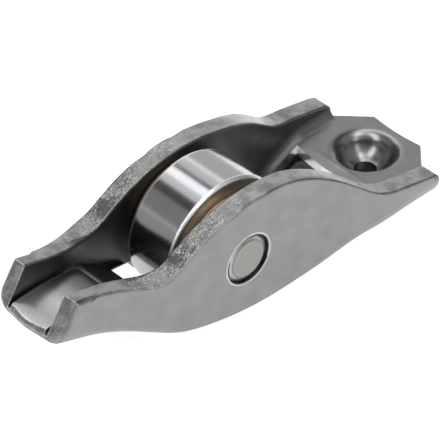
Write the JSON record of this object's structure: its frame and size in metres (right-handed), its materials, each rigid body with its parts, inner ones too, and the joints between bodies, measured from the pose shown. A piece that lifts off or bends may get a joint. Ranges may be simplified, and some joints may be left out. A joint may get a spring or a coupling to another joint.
{
  "type": "rocker arm",
  "caption": "Pressed-steel roller finger follower: channel-shaped arm with a crowned valve pad, a needle-bearing cam roller on a staked axle and a ball socket with oil hole.",
  "frame": {"origin": "centre of the roller axle, on the arm's middle plane", "axes": "+X along the arm toward the ball socket, +Y across the arm along the axle, +Z square to the socket plate, toward the valve stem and the pivot ball"},
  "size_m": [0.0606, 0.0216, 0.0174],
  "materials": {
    "body_steel": "satin case-hardened pressed steel, brighter on rubbed edges, coarser on sheared edges",
    "pin_steel": "ground hardened steel, turned end faces",
    "roller_steel": "ground and honed bearing steel",
    "needle_steel": "ground bearing steel",
    "washer_bronze": "oiled bronze, dull"
  },
  "bodies": {
    "arm": {"arm_body": "body_steel", "axle_pin": "pin_steel", "thrust_washer_near": "washer_bronze", "thrust_washer_far": "washer_bronze"},
    "roller": {"cam_roller": "roller_steel"},
    "needle_ring": {"needle_01": "needle_steel", "needle_02": "needle_steel", "needle_03": "needle_steel", "needle_04": "needle_steel", "needle_05": "needle_steel", "needle_06": "needle_steel", "needle_07": "needle_steel", "needle_08": "needle_steel", "needle_09": "needle_steel", "needle_10": "needle_steel", "needle_11": "needle_steel", "needle_12": "needle_steel", "needle_13": "needle_steel", "needle_14": "needle_steel", "needle_15": "needle_steel"}
  },
  "joints": [
    {"name": "roller_spin", "type": "hinge", "parent": "arm", "child": "roller", "pos_m": [0, 0, 0], "axis": [0, 1, 0], "continuous": true},
    {"name": "needle_orbit", "type": "hinge", "parent": "arm", "child": "needle_ring", "pos_m": [0, 0, 0], "axis": [0, 1, 0], "continuous": true}
  ],
  "couplings": [
    {"joint": "needle_orbit", "follows": "roller_spin", "ratio": 0.6033}
  ]
}
